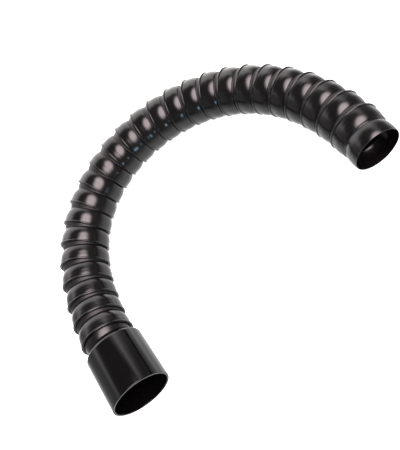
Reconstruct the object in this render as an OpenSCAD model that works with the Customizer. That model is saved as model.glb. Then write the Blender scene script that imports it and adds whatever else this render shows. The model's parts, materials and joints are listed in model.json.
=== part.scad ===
// Ball-and-socket vacuum hose: a chain of moulded segments, each one's ball held in the bell
// of the segment before it, ending in a push-on cuff that swivels on its own neck.
// The hose lies on a flat surface, bent into a U that opens towards -Y. Millimetres, +Z up.

/* [Hose] */
// Number of hose segments
segment_count = 25; // [8:1:30]
// Outer diameter of a segment's bell
bell_d = 48.6; // [44:0.2:60]
// Bore through a segment's neck
bore_d = 38; // [20:0.5:39]

/* [Ball joint] */
// Wall thickness of the bell
bell_wall = 1.2; // [0.8:0.1:2]
// Wall thickness of the ball
ball_wall = 1.4; // [0.8:0.1:2.5]
// Clearance between a ball and the bell around it, on the radius
ball_gap = 0.1; // [0.05:0.01:0.3]
// Distance that the lip wraps past the ball's centre
lip_wrap = 5; // [3:0.1:7]
// Distance that the ball's open mouth stands in front of its centre
ball_reach = 5; // [2:0.1:7]
// Furthest that a joint tilts from straight, in degrees
tilt_limit = 11; // [4:0.5:14]
// Room that is left at the end of the tilt
swing_gap = 0.28; // [0.1:0.02:1]
// Thickness of the web that joins ball to bell
neck_web = 1.5; // [1:0.1:6]
// Drop from the bell's side to the edge of its flat front
front_drop = 2.1; // [0.5:0.1:4]
// Radius that rounds the bell from its front into its side
bell_round = 12; // [6:0.5:20]
// Thickness of the rolled bead around the lip
bead_d = 2.2; // [1:0.1:2.4]
// Height of the bead above the bell
bead_stand = 0.8; // [0:0.05:1]

/* [Free end] */
// Distance that the free end's mouth stands in front of its ball's centre
end_reach = 7; // [5:0.5:12]
// Thickness of the free end's rim
end_rim = 0.5; // [0.3:0.1:1.4]
// Length over which the free end thins towards its rim
end_taper = 3; // [1:0.5:5]

/* [Cuff] */
// Outer diameter of the pipe that the cuff slips over
pipe_d = 50; // [46:0.1:62]
// Clearance between cuff and pipe, on the radius
pipe_gap = 0.1; // [0.05:0.05:0.5]
// Length of pipe that the cuff takes in
socket_length = 49; // [20:1:90]
// Wall thickness of the cuff
cuff_wall = 1.9; // [0.8:0.1:3]
// Slope of the cuff's shoulder from its axis, in degrees
shoulder_slope = 42; // [25:1:60]
// Radius that rounds the shoulder into the side
shoulder_round = 4; // [1:0.5:8]
// Thickness of the cuff's front edge around the neck
front_edge = 1.1; // [0.8:0.1:3]
// Radius that rounds the cuff's open rim
rim_round = 0.5; // [0.2:0.05:0.5]
// Width of the relief groove at the bottom of the socket
relief_width = 0.6; // [0.4:0.1:2]
// Depth of the relief groove
relief_depth = 0.3; // [0.1:0.05:0.5]

/* [Swivel] */
// Wall thickness of the neck inside the cuff
neck_wall = 1.4; // [1:0.1:2]
// Clearance of the swivel, on the radius
swivel_gap = 0.1; // [0.05:0.01:0.3]
// Clearance of the swivel along its axis
swivel_play = 0.2; // [0.1:0.05:0.6]
// Length of the cuff's front wall
front_wall = 3.6; // [2:0.1:8]
// Height of the flange that holds the cuff on its neck
flange_height = 2; // [1:0.1:3]
// Thickness of the flange
flange_width = 2; // [1:0.1:4]
// Part of the flange's height that the snap ring behind it covers
snap_cover = 1; // [0.4:0.1:2]
// Thickness of the snap ring
snap_width = 1.2; // [0.8:0.1:3]

/* [Lie of the hose] */
// Steepest that a joint is tilted to bring the hose up to the cuff, in degrees
climb_limit = 3; // [1:0.5:5]
// Direction of the first segment in the plane of the floor, in degrees
first_heading = 80; // [0:1:180]
// Bend at the joint behind the first segment
first_bend = 5.4; // [0:0.1:11]
// Bend along the right side and the back
back_bend = 7.6; // [0:0.1:11]
// Bend around the tighter left corner
corner_bend = 9.5; // [0:0.1:11]
// Bend beside the cuff
last_bend = 5; // [0:0.1:11]

/* [Hidden] */
$fn = 96;
HOSE_COLOUR = "#232024";
NECK_COLOUR = "#1b191c";
CUFF_COLOUR = "#1f1d20";

bell_r = bell_d / 2;
bell_inner_r = bell_r - bell_wall;
ball_r = bell_inner_r - ball_gap;
ball_inner_r = ball_r - ball_wall;
bore_r = bore_d / 2;
bead_r = bead_d / 2;
lip_r = bell_r + bead_stand;

// The lip's bead, as seen from the centre of the ball that it turns around.
bead_out = lip_r - bead_r;
bead_along = lip_wrap - bead_r;
bead_angle = atan2(bead_along, bead_out);
bead_distance = norm([bead_out, bead_along]);
// How far along its own axis a ball is swept by the lip, and a bell by the ball's mouth.
swing_end = bead_distance * sin(bead_angle + tilt_limit) + bead_r + swing_gap;
mouth_angle = asin(ball_reach / ball_r);
mouth_swing = ball_r * sin(mouth_angle + tilt_limit) + swing_gap;
pitch = swing_end + neck_web + mouth_swing;
lip_along = pitch + bead_along;
// The bell's front rises from its flat in an arc that ends at the side.
bell_side = swing_end + sqrt(front_drop * (2 * bell_round - front_drop));

neck_r = bore_r + neck_wall;
neck_start = sqrt(max(ball_r ^ 2 - neck_r ^ 2, 0));
cuff_bore_r = pipe_d / 2 + pipe_gap;
cuff_r = cuff_bore_r + cuff_wall;
cuff_front = max(swing_end, neck_start) + swivel_play;
front_bore_r = neck_r + swivel_gap;
front_r = front_bore_r + front_edge;
pocket_start = cuff_front + front_wall;
flange_start = pocket_start + swivel_play;
flange_end = flange_start + flange_width;
flange_r = neck_r + flange_height;
pocket_r = flange_r + swivel_play;
pocket_end = flange_end + swivel_play;
snap_r = flange_r - snap_cover;
// The shoulder is a cone that meets the cuff's side in an arc.
round_out = cuff_r - shoulder_round;
cone_top_r = round_out + shoulder_round * cos(shoulder_slope);
cone_top = cuff_front + (cone_top_r - front_r) / tan(shoulder_slope);
round_along = cone_top + shoulder_round * sin(shoulder_slope);
socket_start = max(pocket_end + snap_width, round_along);
cuff_end = socket_start + socket_length;

// The joints are counted from the free end; joint i is behind segment i.
bend_turns = [
    [1, first_bend],
    [6, back_bend],
    [14, back_bend],
    [16, corner_bend],
    [20, corner_bend],
    [24, last_bend],
];
function bend(i) = lookup(i, bend_turns);
HEADINGS = [
    for (i = 1, h = first_heading; i <= segment_count + 1; h = h + bend(i), i = i + 1) h
];
function heading(i) = HEADINGS[i - 1];
// The last segments climb from the height of the hose's axis to that of the wider cuff.
rise = max(cuff_r - lip_r, 0);
climb_count = max(1, ceil(rise / (pitch * sin(climb_limit))));
climb = asin(rise / (climb_count * pitch));
first_climbing = segment_count - climb_count + 1;
function slope(i) = i >= first_climbing && i <= segment_count ? climb : 0;
function forward(i) = [
    cos(heading(i)) * cos(slope(i)),
    sin(heading(i)) * cos(slope(i)),
    sin(slope(i))
];
LAID = [
    for (i = 1, p = [0, 0, lip_r]; i <= segment_count + 1; p = p + pitch * forward(i), i = i + 1) p
];

// Furthest reach of the laid hose along a direction d in the plane, over every bell and ring.
function ring_reach(centre, axis, r, d) =
    centre * d + r * sqrt(max(1 - (axis * d) ^ 2, 0));
function piece_reach(i, d) = i <= segment_count
    ? max(
        ring_reach(LAID[i] + bead_along * forward(i), forward(i), bead_out, d) + bead_r,
        ring_reach(LAID[i - 1] + bell_side * forward(i), forward(i), bell_r, d),
        i == 1 ? ring_reach(LAID[0] - end_reach * forward(1), forward(1), ball_r, d) : 0
    )
    : ring_reach(LAID[i - 1] + cuff_end * forward(i), forward(i), cuff_r, d);
function reach(d) = max([for (i = [1:segment_count + 1]) piece_reach(i, d)]);
middle = [
    (reach([1, 0, 0]) - reach([-1, 0, 0])) / 2,
    (reach([0, 1, 0]) - reach([0, -1, 0])) / 2,
    0
];
function ball_centre(i) = LAID[i - 1] - middle;

function segment_name(i) = str("hose_segment_", i < 10 ? "0" : "", i);

// Turns a profile, drawn as radius and distance along, about the axis of segment i.
module turned(i) {
    translate(ball_centre(i))
        rotate([0, 90 - slope(i), heading(i)])
            rotate_extrude()
                children();
}

// A rectangle from one radius and distance along to another.
module band(r1, along1, r2, along2) {
    translate([r1, along1])
        square([r2 - r1, along2 - along1]);
}

// Half a disc about the axis, kept between two distances along it.
module dome(r, centre, along1, along2) {
    intersection() {
        translate([0, centre])
            circle(r = r);
        band(0, along1, r, along2);
    }
}

// The ball's shell between two distances along.
module ball_profile(front, back) {
    difference() {
        dome(ball_r, 0, front, back);
        dome(ball_inner_r, 0, front - 1, swing_end);
        band(0, front - 1, bore_r, back + 1);
    }
}

// The bell from the web at the neck to the rolled lip.
module bell_profile() {
    difference() {
        union() {
            intersection() {
                translate([bell_r - bell_round, bell_side])
                    circle(r = bell_round);
                band(0, swing_end, bell_r, lip_along);
            }
            band(0, swing_end, bell_r - bell_round, lip_along);
            band(0, bell_side, bell_r, lip_along);
        }
        dome(bell_inner_r, pitch, swing_end + neck_web, lip_along + 1);
        band(0, swing_end - 1, bore_r, pitch);
    }
    translate([bead_out, lip_along])
        circle(d = bead_d);
}

// The free end's straight collar, in place of the front half of its ball.
module collar_profile() {
    rim_r = ball_r - end_rim;
    taper_end = end_taper - end_reach;
    polygon([
        [rim_r, -end_reach],
        [ball_r, -end_reach],
        [ball_r, 0],
        [ball_inner_r, 0],
        [ball_inner_r, taper_end]
    ]);
}

module hose_segment(i) {
    color(HOSE_COLOUR)
        turned(i) {
            ball_profile(i == 1 ? 0 : -ball_reach, swing_end + neck_web / 2);
            bell_profile();
            if (i == 1) collar_profile();
        }
}

module cuff_neck() {
    color(NECK_COLOUR)
        turned(segment_count + 1) {
            ball_profile(-ball_reach, neck_start + neck_web / 2);
            band(bore_r, swing_end, neck_r, flange_end);
            band(bore_r, flange_start, flange_r, flange_end);
        }
}

module cuff_outline() {
    polygon([
        [0, cuff_front],
        [front_r, cuff_front],
        [cone_top_r, cone_top],
        [round_out, round_along],
        [0, round_along]
    ]);
    translate([round_out, round_along])
        circle(r = shoulder_round);
    band(0, round_along, cuff_r, cuff_end - rim_round);
    band(0, cuff_end - rim_round - 1, cuff_r - rim_round, cuff_end);
    translate([cuff_r - rim_round, cuff_end - rim_round])
        circle(r = rim_round);
}

module cuff() {
    color(CUFF_COLOUR)
        turned(segment_count + 1)
            difference() {
                cuff_outline();
                band(-cuff_r, 0, front_bore_r, cuff_end + 1);
                band(0, pocket_start, pocket_r, pocket_end);
                band(0, pocket_end - 1, snap_r, cuff_end + 1);
                band(0, socket_start, cuff_bore_r, cuff_end + 1);
                band(0, socket_start, cuff_bore_r + relief_depth, socket_start + relief_width);
            }
}

for (i = [1:segment_count])
    hose_segment(i);
cuff_neck();
cuff();
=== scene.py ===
import json
import math

import bpy
from mathutils import Matrix, Vector


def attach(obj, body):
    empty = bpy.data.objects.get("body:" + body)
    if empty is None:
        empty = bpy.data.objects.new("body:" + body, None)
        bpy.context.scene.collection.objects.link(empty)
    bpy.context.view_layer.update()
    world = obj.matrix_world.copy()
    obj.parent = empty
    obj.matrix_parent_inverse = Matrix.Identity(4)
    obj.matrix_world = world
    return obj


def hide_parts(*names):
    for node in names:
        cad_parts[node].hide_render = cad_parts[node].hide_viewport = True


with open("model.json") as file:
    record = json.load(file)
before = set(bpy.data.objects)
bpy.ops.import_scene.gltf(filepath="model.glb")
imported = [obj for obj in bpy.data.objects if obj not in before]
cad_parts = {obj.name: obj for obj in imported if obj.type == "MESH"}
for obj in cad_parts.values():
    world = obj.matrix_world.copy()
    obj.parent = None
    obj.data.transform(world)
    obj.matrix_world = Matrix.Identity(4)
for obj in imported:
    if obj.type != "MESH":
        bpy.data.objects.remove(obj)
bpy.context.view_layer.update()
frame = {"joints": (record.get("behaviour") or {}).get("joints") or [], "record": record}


# --- The view ---------------------------------------------------------------------------------
# The camera stands on the open side of the U and looks down on it, rolled to the left, so that
# the hose's free end is at the right of the view and the cuff at the bottom.
view_from = Vector((0.03208, -0.28929, 0.40831))
look_down = math.radians(55.4)
look_aside = math.radians(-0.91)
roll = math.radians(-48.58)
level = Matrix.Rotation(-look_aside, 3, "Z") @ Matrix.Rotation(math.pi / 2 - look_down, 3, "X")
rolled = level @ Matrix.Rotation(roll, 3, "Z")
camera_data = bpy.data.cameras.new("view")
camera_data.lens = 39.1
camera_data.shift_x = -0.041
camera_data.shift_y = -0.084
camera_data.clip_start = 0.01
camera = bpy.data.objects.new("view", camera_data)
camera.matrix_world = Matrix.Translation(view_from) @ rolled.to_4x4()
bpy.context.scene.collection.objects.link(camera)
bpy.context.scene.camera = camera
bpy.context.scene.view_settings.view_transform = "Standard"


# --- The room ---------------------------------------------------------------------------------
# A plain white floor glows like a light table in a dark studio. A soft pink-white box lights the
# hose from above its open side, a wide pale panel stands behind it, a faint one glows at its left,
# and two small blue lamps stand low in front.
floor_size = 8
floor_drop = 0.0005
bpy.ops.object.select_all(action="DESELECT")
bpy.ops.mesh.primitive_plane_add(size=floor_size, location=(0, 0, -floor_drop))
floor = bpy.context.object
floor.name = "floor"
floor_paint = bpy.data.materials.new("floor_white")
floor_paint.use_nodes = True
floor_shader = floor_paint.node_tree.nodes["Principled BSDF"]
floor_shader.inputs["Base Color"].default_value = (0.85, 0.85, 0.85, 1)
floor_shader.inputs["Roughness"].default_value = 0.9
floor_shader.inputs["Emission Color"].default_value = (1, 1, 1, 1)
floor_shader.inputs["Emission Strength"].default_value = 0.95
floor.data.materials.append(floor_paint)
floor.visible_glossy = False

room = bpy.data.worlds.new("room")
room.use_nodes = True
bpy.context.scene.world = room
room_nodes = room.node_tree.nodes
room_links = room.node_tree.links
room_light = room_nodes["Background"]
seen = room_nodes.new("ShaderNodeLightPath")
direction = room_nodes.new("ShaderNodeTexCoord").outputs["Generated"]


def room_math(operation, first, second):
    """A number worked out from two others, each a value or a socket."""
    node = room_nodes.new("ShaderNodeMath")
    node.operation = operation
    for socket, value in zip(node.inputs, (first, second)):
        if isinstance(value, (int, float)):
            socket.default_value = value
        else:
            room_links.new(value, socket)
    return node.outputs["Value"]


def room_vector(operation, first, second, output="Vector"):
    """A direction, a colour or a number worked out from two vectors or sockets."""
    node = room_nodes.new("ShaderNodeVectorMath")
    node.operation = operation
    for socket, value in zip(node.inputs, (first, second)):
        if isinstance(value, (tuple, Vector)):
            socket.default_value = value
        else:
            room_links.new(value, socket)
    return node.outputs[output]


def soft_box(azimuth, elevation, half_width, half_height, edge, oval, colour):
    """A soft-edged patch of light, placed and sized in degrees as seen from the hose."""
    turn = math.radians(azimuth)
    lift = math.radians(elevation)
    level_part = math.cos(lift)
    towards = Vector((level_part * math.cos(turn), level_part * math.sin(turn), math.sin(lift)))
    aside = Vector((-math.sin(turn), math.cos(turn), 0))
    above = towards.cross(aside)
    per_width = aside / math.sin(math.radians(half_width))
    per_height = above / math.sin(math.radians(half_height))
    across = room_vector("DOT_PRODUCT", direction, per_width, "Value")
    upward = room_vector("DOT_PRODUCT", direction, per_height, "Value")
    if oval:
        across_squared = room_math("MULTIPLY", across, across)
        upward_squared = room_math("MULTIPLY", upward, upward)
        away = room_math("SQRT", room_math("ADD", across_squared, upward_squared), 0.0)
    else:
        sideways = room_math("ABSOLUTE", across, 0.0)
        lengthways = room_math("ABSOLUTE", upward, 0.0)
        away = room_math("MAXIMUM", sideways, lengthways)
    fade = room_nodes.new("ShaderNodeMapRange")
    fade.interpolation_type = "SMOOTHSTEP"
    fade.inputs["From Min"].default_value = 1 - edge
    fade.inputs["From Max"].default_value = 1 + edge
    fade.inputs["To Min"].default_value = 1
    fade.inputs["To Max"].default_value = 0
    room_links.new(away, fade.inputs["Value"])
    ahead = room_math("GREATER_THAN", room_vector("DOT_PRODUCT", direction, towards, "Value"), 0.0)
    patch = room_nodes.new("ShaderNodeVectorMath")
    patch.operation = "SCALE"
    patch.inputs[0].default_value = colour
    room_links.new(room_math("MULTIPLY", fade.outputs["Result"], ahead), patch.inputs["Scale"])
    return patch.outputs["Vector"]


split = room_nodes.new("ShaderNodeSeparateXYZ")
height = room_nodes.new("ShaderNodeMapRange")
height.inputs["From Min"].default_value = -1
height.inputs["From Max"].default_value = 1
brightness = room_nodes.new("ShaderNodeValToRGB")
stops = brightness.color_ramp.elements
stops[0].position = 0
stops[0].color = (0.93, 0.93, 0.93, 1)
stops[1].position = 1
stops[1].color = (0.08, 0.08, 0.08, 1)
grey_at_height = ((-0.5, 0.85), (-0.34, 0.55), (-0.22, 0.38), (0, 0.14), (0.6, 0.1))
for height_there, grey in grey_at_height:
    stop = stops.new((height_there + 1) / 2)
    stop.color = (grey, grey, grey, 1)
room_links.new(direction, split.inputs[0])
room_links.new(split.outputs["Z"], height.inputs["Value"])
room_links.new(height.outputs["Result"], brightness.inputs["Fac"])
room_strength = (1.5, 1.5, 1.5)
dark_room = room_vector("MULTIPLY", brightness.outputs["Color"], room_strength)
key_box = soft_box(
    azimuth=-43, elevation=64, half_width=29, half_height=21,
    edge=0.4, oval=True, colour=(10.5, 8.9, 9.2))
back_panel = soft_box(
    azimuth=82, elevation=10, half_width=42, half_height=33,
    edge=0.3, oval=False, colour=(2.3, 2.2, 2.2))
left_glow = soft_box(
    azimuth=165, elevation=15, half_width=35, half_height=30,
    edge=0.5, oval=True, colour=(0.25, 0.25, 0.25))
blue_lamp = soft_box(
    azimuth=-109, elevation=12, half_width=5.5, half_height=5,
    edge=0.5, oval=True, colour=(5, 9, 11))
far_blue_lamp = soft_box(
    azimuth=-73, elevation=12, half_width=4.5, half_height=4,
    edge=0.5, oval=True, colour=(2.5, 4.2, 5))
studio = dark_room
for patch in (key_box, back_panel, left_glow, blue_lamp, far_blue_lamp):
    studio = room_vector("ADD", studio, patch)
backdrop = room_nodes.new("ShaderNodeMix")
backdrop.data_type = "RGBA"
backdrop.inputs["B"].default_value = (1, 1, 1, 1)
room_links.new(seen.outputs["Is Camera Ray"], backdrop.inputs["Factor"])
room_links.new(studio, backdrop.inputs["A"])
room_links.new(backdrop.outputs["Result"], room_light.inputs["Color"])
room_light.inputs["Strength"].default_value = 1


# --- Hose segments ----------------------------------------------------------------------------
# Each segment is one blow-moulded piece of black plastic with a ball at one end and a bell at
# the other. The bell's lip is rolled to a bead, snaps over the next ball and lets it tilt.
ball_r = 0.0230
ball_wall = 0.0014
ball_reach = 0.005
bell_r = 0.0243
bell_wall = 0.0012
bell_front_r = 0.0222
bell_front = 0.009788
bell_round = 0.018
bore_r = 0.019
neck_web = 0.0015
lip_along = 0.0039
bead_r = 0.0011
bead_back = 0.00105
bead_from = 150
bead_to = -90
lip_r = 0.0251
corner_round = 0.0004
mouth_round = 0.0003
mouth_edge = 0.001
neck_fillet = 0.0011
rub_margin = 0.0002
collar_reach = 0.007
collar_rim = 0.0005
collar_draw = 0.0005
collar_taper = 0.003
collar_round = 0.018
collar_widest = -0.002
collar_run = 0.005
end_fillet = 0.0014
end_fillet_length = 0.003
end_fillet_drop = 0.0006
spin_steps = 96
mounts = {mount["name"]: mount for mount in frame["record"]["mounts"]}
joints = {joint["name"]: joint for joint in frame["joints"]}
segment_count = len(joints) - 1
centres = [Vector(mounts["free_end"]["pos_m"])]
centres += [Vector(joints[f"hose_bend_{i:02d}"]["pos_m"]) for i in range(1, segment_count + 1)]
pitch = (centres[1] - centres[0]).length


def arc(centre, radius, start, end, steps):
    """Points (along, out) on an arc, with angles in degrees from the axis."""
    points = []
    for step in range(steps + 1):
        angle = math.radians(start + (end - start) * step / steps)
        points.append((centre[0] + radius * math.cos(angle), centre[1] + radius * math.sin(angle)))
    return points


def angle_at(distance, radius):
    """The angle from the axis at which a circle is a given way along it."""
    return math.degrees(math.acos(distance / radius))


def rounded(before, corner, after, radius, steps=5):
    """Points on the arc that rounds the corner between two straight edges."""
    before, corner, after = Vector(before), Vector(corner), Vector(after)
    back = (before - corner).normalized()
    forth = (after - corner).normalized()
    half = back.angle(forth) / 2
    middle = corner + (back + forth).normalized() * radius / math.sin(half)
    first = corner + back * radius / math.tan(half) - middle
    last = corner + forth * radius / math.tan(half) - middle
    shares = [step / steps for step in range(steps + 1)]
    spread = [(first * (1 - share) + last * share).normalized() * radius for share in shares]
    return [tuple(middle + outward) for outward in spread]


def turned_piece(name, outline, steps, weld=0.000002, smooth_under=38):
    """Draws a closed outline as a chain of extruded points, then spins it about the Z axis."""
    bpy.ops.object.select_all(action="DESELECT")
    bpy.ops.mesh.primitive_plane_add(size=0.001)
    piece = bpy.context.object
    piece.name = name
    piece.data.name = name
    bpy.ops.object.mode_set(mode="EDIT")
    bpy.ops.mesh.select_all(action="SELECT")
    bpy.ops.mesh.merge(type="CENTER")
    first_along, first_out = outline[0]
    bpy.ops.transform.translate(value=(first_out, 0, first_along))
    for (along, out), (next_along, next_out) in zip(outline, outline[1:] + outline[:1]):
        step = (next_out - out, 0, next_along - along)
        bpy.ops.mesh.extrude_vertices_move(TRANSFORM_OT_translate={"value": step})
    bpy.ops.mesh.select_all(action="SELECT")
    bpy.ops.mesh.spin(steps=steps, angle=math.tau, center=(0, 0, 0), axis=(0, 0, 1))
    bpy.ops.mesh.select_all(action="SELECT")
    bpy.ops.mesh.remove_doubles(threshold=weld)
    bpy.ops.mesh.normals_make_consistent(inside=False)
    bpy.ops.object.mode_set(mode="OBJECT")
    bpy.ops.object.shade_smooth_by_angle(angle=math.radians(smooth_under))
    return piece


def laid(piece, centre, towards):
    """Lays a turned piece with its axis along a direction and its own zero at a point."""
    across = Vector((0, 0, 1)).cross(towards).normalized()
    upward = towards.cross(across)
    place = Matrix((across, upward, towards)).transposed().to_4x4()
    piece.data.transform(Matrix.Translation(centre) @ place)


def on_ball(along, radius=ball_r):
    """The point (along, out) on a ball's surface."""
    return (along, math.sqrt(radius ** 2 - along ** 2))


ball_inner_r = ball_r - ball_wall
bell_inner_r = bell_r - bell_wall
web_back = bell_front + neck_web
lip = pitch + lip_along
bead_centre = (lip, lip_r - bead_r)
drop = bell_r - bell_front_r
bell_side = bell_front + math.sqrt(drop * (2 * bell_round - drop))
round_centre = (bell_side, bell_r - bell_round)
front_corner = (bell_front, bell_front_r)
front_angle = math.degrees(math.atan2(front_corner[1] - round_centre[1], bell_front - bell_side))
bell_arc = arc(round_centre, bell_round, front_angle, 90, 14)
bead_arc = arc(bead_centre, bead_r, bead_from, bead_to, 18)
side_start = angle_at(bell_side - pitch, bell_r)
side_end = angle_at(lip - bead_back - pitch, bell_r)
inside_start = angle_at(lip_along, bell_inner_r)
inside_end = angle_at(web_back - pitch, bell_inner_r)
bell = rounded((bell_front, bore_r), front_corner, bell_arc[1], corner_round)
bell += bell_arc[1:]
bell += arc((pitch, 0), bell_r, side_start, side_end, 8)[2:]
bell += bead_arc
bell += arc((pitch, 0), bell_inner_r, inside_start, inside_end, 18)
bell += [(web_back, bore_r)]

edge_along = -ball_reach + mouth_edge
edge_angle = angle_at(edge_along, ball_r)
mouth_angle = angle_at(-ball_reach, ball_inner_r)
bore_angle = math.degrees(math.asin(bore_r / ball_inner_r))
mouth_inside = on_ball(-ball_reach, ball_inner_r)
mouth = rounded(mouth_inside, on_ball(-ball_reach), on_ball(edge_along), mouth_round)
ball_outside = arc((0, 0), ball_r, edge_angle, angle_at(bell_front - neck_fillet, ball_r), 22)
fillet_corner = (bell_front, ball_outside[-1][1])
ball_outside += rounded(ball_outside[-1], fillet_corner, (bell_front, bell_r), neck_fillet)
ball_inside = arc((0, 0), ball_inner_r, bore_angle, mouth_angle, 18)
pattern = turned_piece("segment_pattern", mouth + ball_outside + bell + ball_inside, spin_steps)

rim = (-collar_reach, ball_r - collar_rim - collar_draw)
taper_end = (collar_taper - collar_reach, ball_inner_r)
collar_angle = 90 + math.degrees(math.asin(collar_run / collar_round))
end_outline = [rim]
end_outline += arc((collar_widest, ball_r - collar_round), collar_round, collar_angle, 90, 8)
end_outline += arc((0, 0), ball_r, 90, angle_at(bell_front - end_fillet_length, ball_r), 14)
end_corner = (bell_front, end_outline[-1][1] - end_fillet_drop)
end_outline += rounded(end_outline[-1], end_corner, (bell_front, bell_r), end_fillet, 7)
end_outline += bell + arc((0, 0), ball_inner_r, bore_angle, 90, 12) + [taper_end]
end_pattern = turned_piece("end_pattern", end_outline, spin_steps)

# The mould leaves a smooth skin with slow waves, a very fine grain and here and there a speck of
# dust. Every plastic piece of the hose shares it, each with its own gloss.
mould_skin = bpy.data.node_groups.new("mould_skin", "ShaderNodeTree")
mould_skin.interface.new_socket("Place", in_out="INPUT", socket_type="NodeSocketVector")
mould_skin.interface.new_socket("Roughness", in_out="OUTPUT", socket_type="NodeSocketFloat")
mould_skin.interface.new_socket("Height", in_out="OUTPUT", socket_type="NodeSocketFloat")
mould_skin.interface.new_socket("Dust", in_out="OUTPUT", socket_type="NodeSocketFloat")
skin_in = mould_skin.nodes.new("NodeGroupInput")
skin_out = mould_skin.nodes.new("NodeGroupOutput")
waves = mould_skin.nodes.new("ShaderNodeTexNoise")
waves.inputs["Scale"].default_value = 55
waves.inputs["Detail"].default_value = 2
grain = mould_skin.nodes.new("ShaderNodeTexNoise")
grain.inputs["Scale"].default_value = 650
grain.inputs["Detail"].default_value = 3
specks = mould_skin.nodes.new("ShaderNodeTexNoise")
specks.inputs["Scale"].default_value = 2600
specks.inputs["Detail"].default_value = 1
gloss = mould_skin.nodes.new("ShaderNodeMapRange")
gloss.inputs["From Min"].default_value = 0.3
gloss.inputs["From Max"].default_value = 0.7
gloss.inputs["To Min"].default_value = 0.15
gloss.inputs["To Max"].default_value = 0.21
grain_share = 0.12
relief = mould_skin.nodes.new("ShaderNodeMath")
relief.operation = "MULTIPLY_ADD"
relief.inputs[1].default_value = grain_share
dusty = mould_skin.nodes.new("ShaderNodeMapRange")
dusty.inputs["From Min"].default_value = 0.62
dusty.inputs["From Max"].default_value = 0.8
for texture in (waves, grain, specks):
    mould_skin.links.new(skin_in.outputs["Place"], texture.inputs["Vector"])
mould_skin.links.new(waves.outputs["Fac"], gloss.inputs["Value"])
mould_skin.links.new(gloss.outputs["Result"], skin_out.inputs["Roughness"])
mould_skin.links.new(grain.outputs["Fac"], relief.inputs[0])
mould_skin.links.new(waves.outputs["Fac"], relief.inputs[2])
mould_skin.links.new(relief.outputs["Value"], skin_out.inputs["Height"])
mould_skin.links.new(specks.outputs["Fac"], dusty.inputs["Value"])
mould_skin.links.new(dusty.outputs["Result"], skin_out.inputs["Dust"])


def moulded_plastic(name, colour, dust_colour, bump_height, extra_roughness):
    """A black plastic whose colour, gloss and tiny relief come from the moulded skin."""
    plastic = bpy.data.materials.new(name)
    plastic.use_nodes = True
    nodes = plastic.node_tree.nodes
    links = plastic.node_tree.links
    shader = nodes["Principled BSDF"]
    place = nodes.new("ShaderNodeTexCoord")
    skin = nodes.new("ShaderNodeGroup")
    skin.node_tree = mould_skin
    tint = nodes.new("ShaderNodeMix")
    tint.data_type = "RGBA"
    tint.inputs["A"].default_value = colour
    tint.inputs["B"].default_value = dust_colour
    bump = nodes.new("ShaderNodeBump")
    bump.inputs["Strength"].default_value = 0.5
    bump.inputs["Distance"].default_value = bump_height
    links.new(place.outputs["Object"], skin.inputs["Place"])
    links.new(skin.outputs["Dust"], tint.inputs["Factor"])
    links.new(tint.outputs["Result"], shader.inputs["Base Color"])
    rubbed = nodes.new("ShaderNodeMath")
    rubbed.operation = "ADD"
    rubbed.inputs[1].default_value = extra_roughness
    links.new(skin.outputs["Roughness"], rubbed.inputs[0])
    links.new(rubbed.outputs["Value"], shader.inputs["Roughness"])
    links.new(skin.outputs["Height"], bump.inputs["Height"])
    links.new(bump.outputs["Normal"], shader.inputs["Normal"])
    return plastic


# The bells are glossy, and the balls are dulled where the lips rub on them.
hose_plastic = moulded_plastic(
    "hose_plastic", colour=(0.0032, 0.0026, 0.0028, 1), dust_colour=(0.02, 0.02, 0.02, 1),
    bump_height=0.0002, extra_roughness=0)
rubbed_plastic = moulded_plastic(
    "rubbed_plastic", colour=(0.0032, 0.0026, 0.0028, 1), dust_colour=(0.03, 0.03, 0.03, 1),
    bump_height=0.0002, extra_roughness=0.3)
for shape in (pattern, end_pattern):
    shape.data.materials.append(hose_plastic)
    shape.data.materials.append(rubbed_plastic)
glossy_slot, rubbed_slot = 0, 1
for polygon in pattern.data.polygons:
    on_the_ball = polygon.center.z < bell_front - rub_margin
    polygon.material_index = rubbed_slot if on_the_ball else glossy_slot

for number, (centre, next_centre) in enumerate(zip(centres, centres[1:]), 1):
    shape = end_pattern if number == 1 else pattern
    segment = bpy.data.objects.new(f"segment_{number:02d}", shape.data.copy())
    bpy.context.scene.collection.objects.link(segment)
    laid(segment, centre, (next_centre - centre).normalized())
    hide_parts(f"hose_segment_{number:02d}")
    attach(segment, f"hose_segment_{number:02d}")
bpy.data.objects.remove(pattern)
bpy.data.objects.remove(end_pattern)


# --- Neck -------------------------------------------------------------------------------------
# The neck is a short moulded tube with the last ball at its front. Its flange sits in a groove
# inside the cuff and holds the cuff on while it turns.
neck_r = 0.0204
neck_start = math.sqrt(ball_r ** 2 - neck_r ** 2)
flange_start = 0.014623
flange_end = 0.016623
flange_r = 0.0224
flange_round = 0.0003
flange_foot = (flange_start, neck_r)
flange_front = (flange_start, flange_r)
flange_back = (flange_end, flange_r)
neck_back = (flange_end, bore_r)
neck_outline = mouth + arc((0, 0), ball_r, edge_angle, angle_at(neck_start, ball_r), 24)
neck_outline += [flange_foot]
neck_outline += rounded(flange_foot, flange_front, flange_back, flange_round)
neck_outline += rounded(flange_front, flange_back, neck_back, flange_round)
neck_outline += [neck_back, (bell_front, bore_r)]
neck_outline += arc((0, 0), ball_inner_r, angle_at(bell_front, ball_inner_r), mouth_angle, 18)
neck_plastic = moulded_plastic(
    "neck_plastic", colour=(0.0028, 0.0024, 0.0026, 1), dust_colour=(0.02, 0.02, 0.02, 1),
    bump_height=0.0002, extra_roughness=0.1)
cuff_axis = Vector(joints["cuff_swivel"]["axis"])
neck = turned_piece("neck", neck_outline, spin_steps)
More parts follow.
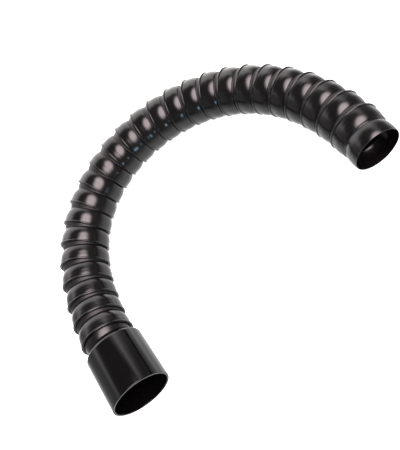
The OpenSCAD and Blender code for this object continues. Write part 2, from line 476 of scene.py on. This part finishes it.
laid(neck, centres[-1], cuff_axis)
neck.data.materials.append(neck_plastic)
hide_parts("cuff_neck")
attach(neck, "cuff_neck")


# --- Cuff -------------------------------------------------------------------------------------
# The cuff is a thicker moulded sleeve with a coned shoulder. It snaps over the neck's flange,
# turns on it, and its open end pushes over a 50 mm pipe.
cuff_r = 0.0270
cuff_bore_r = 0.0251
cuff_front = 0.010823
front_bore_r = 0.0205
front_r = 0.0216
shoulder_slope = 42
shoulder_round = 0.004
pocket_start = 0.014423
pocket_end = 0.016823
pocket_r = 0.0226
snap_r = 0.0214
socket_start = 0.018355
relief_end = 0.018955
relief_r = 0.0254
cuff_end = 0.067355
front_round = 0.0005
rim_round = 0.0006
rim_bore_round = 0.0004
cuff_spin_steps = 128
front_bore_edge = (cuff_front, front_bore_r)
rim_edge = (cuff_end, cuff_r)
rim_bore_edge = (cuff_end, cuff_bore_r)
relief_edge = (relief_end, cuff_bore_r)
shoulder_centre = (socket_start, cuff_r - shoulder_round)
shoulder = arc(shoulder_centre, shoulder_round, 90 + shoulder_slope, 90, 10)
cuff_outline = rounded(front_bore_edge, (cuff_front, front_r), shoulder[0], front_round)
cuff_outline += shoulder
cuff_outline += rounded(shoulder[-1], rim_edge, rim_bore_edge, rim_round, 7)
cuff_outline += rounded(rim_edge, rim_bore_edge, relief_edge, rim_bore_round)
cuff_outline += [relief_edge, (relief_end, relief_r), (socket_start, relief_r)]
cuff_outline += [(socket_start, snap_r), (pocket_end, snap_r), (pocket_end, pocket_r)]
cuff_outline += [(pocket_start, pocket_r), (pocket_start, front_bore_r), front_bore_edge]
cuff_plastic = moulded_plastic(
    "cuff_plastic", colour=(0.0016, 0.0014, 0.0015, 1), dust_colour=(0.012, 0.012, 0.012, 1),
    bump_height=0.00008, extra_roughness=-0.1)
cuff = turned_piece("push_on_cuff", cuff_outline, cuff_spin_steps)
laid(cuff, centres[-1], cuff_axis)
cuff.data.materials.append(cuff_plastic)
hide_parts("cuff")
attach(cuff, "cuff")
